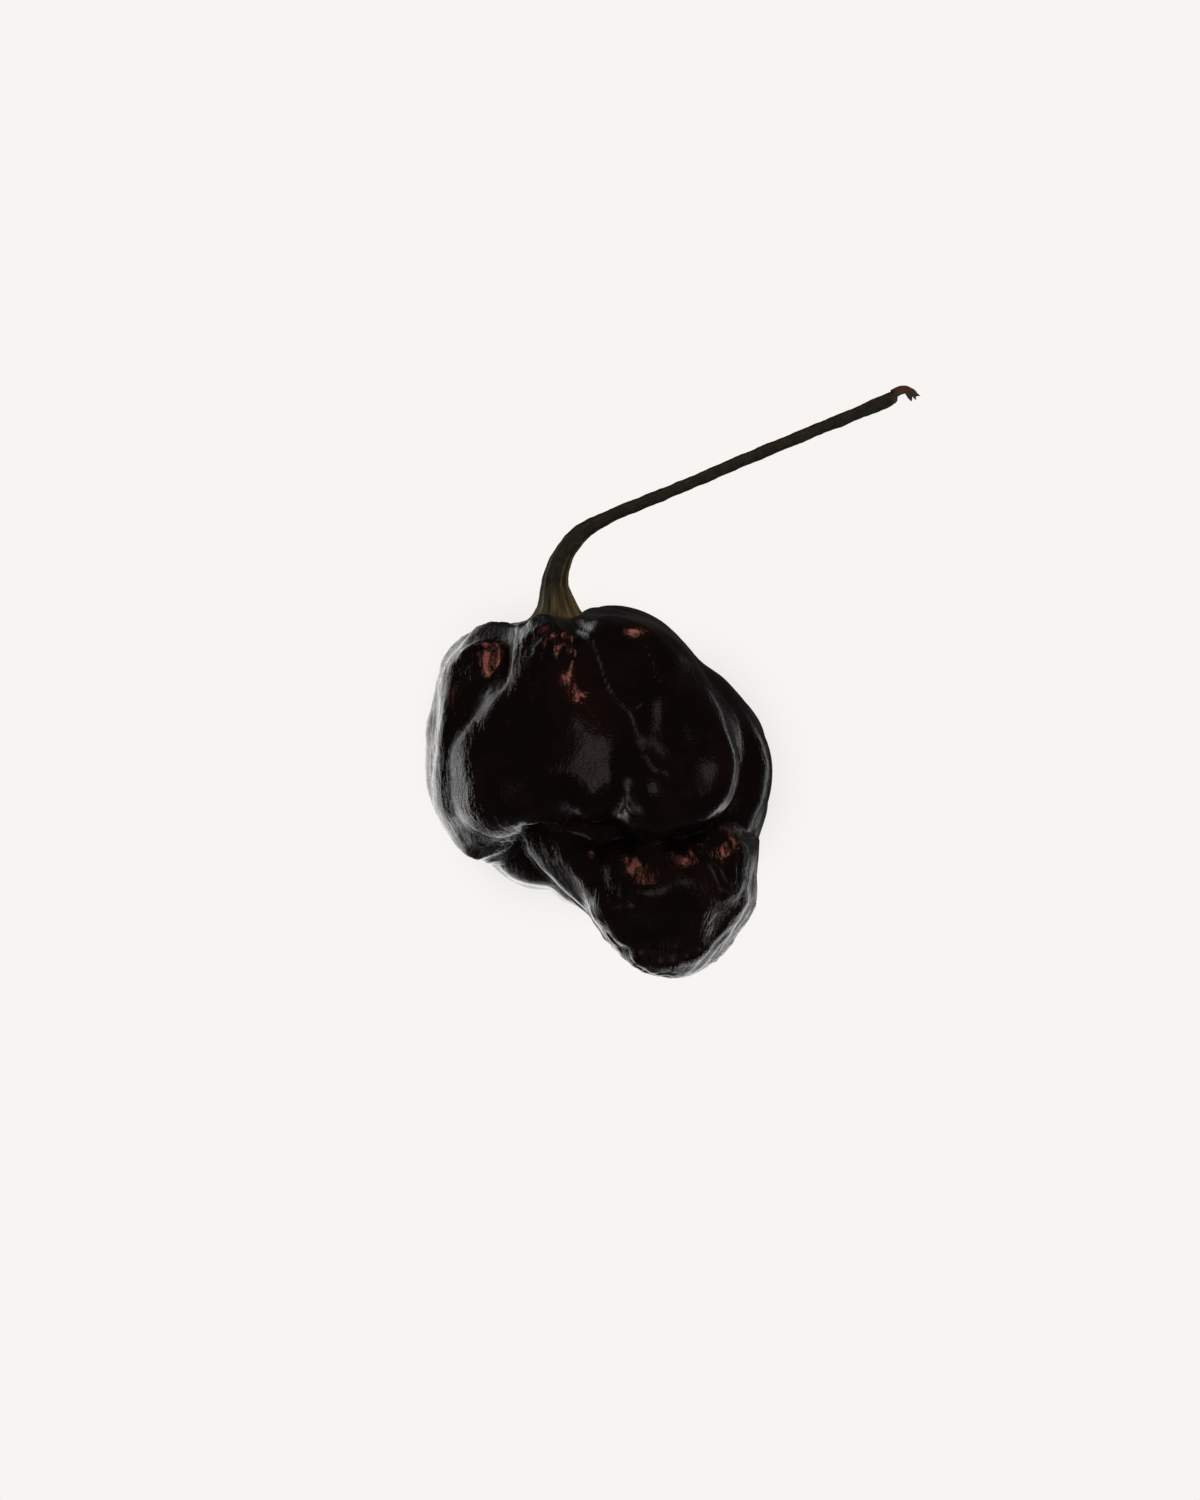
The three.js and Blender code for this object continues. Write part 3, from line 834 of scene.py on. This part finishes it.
def smoothLine(corners, spacing):
    # A smooth curve through the corners, with its points evenly spaced.
    p = np.array(corners, float)
    p = np.concatenate([[2 * p[0] - p[1]], p, [2 * p[-1] - p[-2]]])
    pieces = []
    for a, b, c, d in zip(p, p[1:], p[2:], p[3:]):
        k = np.cumsum([0] + [math.sqrt(np.linalg.norm(y - x)) for x, y in ((a, b), (b, c), (c, d))])
        t = np.linspace(k[1], k[2], 60, endpoint=False)[:, None]
        a1 = (k[1] - t) / (k[1] - k[0]) * a + (t - k[0]) / (k[1] - k[0]) * b
        a2 = (k[2] - t) / (k[2] - k[1]) * b + (t - k[1]) / (k[2] - k[1]) * c
        a3 = (k[3] - t) / (k[3] - k[2]) * c + (t - k[2]) / (k[3] - k[2]) * d
        b1 = (k[2] - t) / (k[2] - k[0]) * a1 + (t - k[0]) / (k[2] - k[0]) * a2
        b2 = (k[3] - t) / (k[3] - k[1]) * a2 + (t - k[1]) / (k[3] - k[1]) * a3
        pieces.append((k[2] - t) / (k[2] - k[1]) * b1 + (t - k[1]) / (k[2] - k[1]) * b2)
    dense = np.concatenate(pieces + [p[-2:-1]])
    run = np.concatenate([[0], np.cumsum(np.linalg.norm(np.diff(dense, axis=0), axis=1))])
    even = np.linspace(0, run[-1], max(12, round(run[-1] / spacing)))
    return np.stack([np.interp(even, run, dense[:, i]) for i in range(3)], 1), even


def stemCurve(s):
    data = bpy.data.curves.new("stem", "CURVE")
    data.dimensions = "3D"
    for corners, girth in (part for part in s.values() if isinstance(part, tuple)):
        line, run = smoothLine(corners, s["spacing"])
        girth = np.array(girth)
        radius = np.interp(run * girth[-1, 0] / run[-1], girth[:, 0], girth[:, 1])
        spline = data.splines.new("POLY")
        spline.points.add(len(line) - 1)
        for point, place, size in zip(spline.points, line, radius):
            point.co = (*(Vector(place) * mm + crown), 1)
            point.radius = size * mm
    curve = bpy.data.objects.new("stemAndCalyx", data)
    scene.collection.objects.link(curve)
    return curve


def stemTree(sizes):
    # A tube with the curve's own radius, ribbed near the calyx and knobbly all along.
    tree, given = newTree("stem", sizes)
    at = Wire(tree)
    turn = 2 * math.pi
    # Distance along the stalk. The torn pieces at its end count from 60 mm.
    start = at.add("GeometryNodeInputPosition")
    start = at.add("ShaderNodeSeparateXYZ", None, {0: start}).between(26.4 * mm, 26.5 * mm, 0.0, 60 * mm)
    line = at.add("GeometryNodeStoreNamedAttribute", {"data_type": "FLOAT", "domain": "POINT"}, {
        "Geometry": given["Geometry"], "Name": "along",
        "Value": at.add("GeometryNodeSplineParameter", output="Length") + start})
    ring = at.add("GeometryNodeCurvePrimitiveCircle", None, {"Resolution": given["Sides"], "Radius": 1.0})
    ring = at.add("GeometryNodeStoreNamedAttribute", {"data_type": "FLOAT", "domain": "POINT"}, {
        "Geometry": ring, "Name": "around", "Value": at.add("GeometryNodeSplineParameter")})
    radius = at.add("GeometryNodeInputRadius")
    tube = at.add("GeometryNodeCurveToMesh", None,
                  {"Curve": line, "Profile Curve": ring, "Scale": radius, "Fill Caps": True})
    along = named(at, "along", "FLOAT") / mm
    around = named(at, "around", "FLOAT")
    place = at.add("GeometryNodeInputPosition") * (1 / mm)
    rim = ((along - 2.3) / 0.9)
    rim = (rim * rim * -1).run("EXPONENT")
    flare = along.between(2.5, 14.0, 1.0, 0.0)
    teeth = (around * (5 * turn) + 0.4).run("COSINE") * rim * given["Tooth size"]
    wander = (noise(at, 0.3, 1.0, 0.5, 0.0, place) - 0.5) * 3.0
    ribs = ((around * turn * given["Ribs"] + wander).run("COSINE") * 0.5 + 0.5) ** 2.0
    ribs = ribs * (flare * given["Rib height"] + given["Stalk rib height"])
    knobs = (noise(at, 0.55, 2.0, 0.5, 0.0, place) - 0.5) * given["Knob size"] * along.between(3.0, 9.0)
    rise = teeth + ribs + knobs
    normal = at.add("GeometryNodeInputNormal")
    moved = at.add("GeometryNodeSetPosition", None, {"Geometry": tube, "Offset": normal * rise})
    smooth = at.add("GeometryNodeSetShadeSmooth", None, {"Geometry": moved})
    closeTree(at, smooth, given["Material"])
    return tree


stemFinish = {
    "green": (0.040, 0.054, 0.032),
    "dark": (0.028, 0.030, 0.021),
    "paintedHighlight": (0.360, 0.400, 0.130),       # painted highlight on the ribs and on the inner side of the bend, strongest where they face +X
    "brown": (0.128, 0.128, 0.058),      # between the ribs of the flare
    "torn": (0.150, 0.052, 0.030),
    "inside": (0.110, 0.105, 0.070),
    "bump": 0.6,
    "bumpDistance": 0.12 * mm,
}


def stemMaterial(s):
    material, at = newMaterial("stem")
    place = at.add("ShaderNodeTexCoord", output="Object") * (1 / mm)
    facing = at.add("ShaderNodeTexCoord", output="Normal")
    right = at.add("ShaderNodeSeparateXYZ", None, {0: facing})
    back = at.add("ShaderNodeSeparateXYZ", None, {0: facing}, output=1)
    east = at.add("ShaderNodeSeparateXYZ", None, {0: place})
    along = at.add("ShaderNodeAttribute", {"attribute_name": "along"}, output="Fac") / mm
    around = at.add("ShaderNodeAttribute", {"attribute_name": "around"}, output="Fac")
    mottle = noise(at, 1.1, 3.0, 0.6, 0.3, place)
    green = mixColour(at, mottle.between(0.35, 0.65), (*s["dark"], 1), (*s["green"], 1))
    lengthwise = at.add("ShaderNodeCombineXYZ", None, {0: around * 40, 1: along * 0.25})
    streaks = noise(at, 1.0, 2.0, 0.6, 0.0, lengthwise)
    flare = along.between(3.8, 8.0, 1.0, 0.0)
    colour = mixColour(at, flare * streaks.between(0.35, 0.6), green, (*s["brown"], 1))
    # Painted highlight: pale colour on the flare's ribs and the inner side of the bend, strongest where the
    # surface faces +X.
    ribs = (around * (2 * math.pi * stemRibs)).run("COSINE").between(0.1, 1.0)
    ribs = ribs * streaks.between(0.4, 0.62, 0.35, 1.0)
    innerHighlight = right.between(0.5, 1.0) * along.between(9.0, 24.0, 0.8, 0.12)
    ribHighlight = flare * ribs * right.between(-0.3, 0.8, 0.08, 0.9)
    paintedHighlightMask = ribHighlight.run("MAXIMUM", innerHighlight * streaks.between(0.3, 0.6, 0.4, 1.0))
    colour = mixColour(at, paintedHighlightMask, colour, (*s["paintedHighlight"], 1))
    end = (east + mottle * 1.6).between(27.2, 28.4)
    raw = mixColour(at, back.between(-0.3, 0.45), (*s["inside"], 1), (*s["torn"], 1))
    colour = mixColour(at, end, colour, raw)
    fibres = noise(at, 3.0, 2.0, 0.6, 0.2, place)
    bump = at.add("ShaderNodeBump", None,
                  {"Strength": s["bump"], "Distance": s["bumpDistance"], "Height": fibres})
    shader = at.add("ShaderNodeBsdfPrincipled", None, {
        "Base Color": colour, "Roughness": mottle.between(0.3, 0.7, 0.5, 0.68), "IOR": 1.4, "Normal": bump})
    finishMaterial(at, shader)
    return material


stalk = {
    "Sides": 80,
    "Ribs": stemRibs,
    "Rib height": 0.22 * mm,
    "Stalk rib height": 0.05 * mm,
    "Tooth size": 0.25 * mm,
    "Knob size": 0.38 * mm,
    "Material": stemMaterial(stemFinish),
}
stemPiece = applyTree(stemCurve(stem), stemTree(stalk), stalk)
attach(stemPiece, "root")
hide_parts("stem")
print("stem", len(stemPiece.data.polygons), "faces")
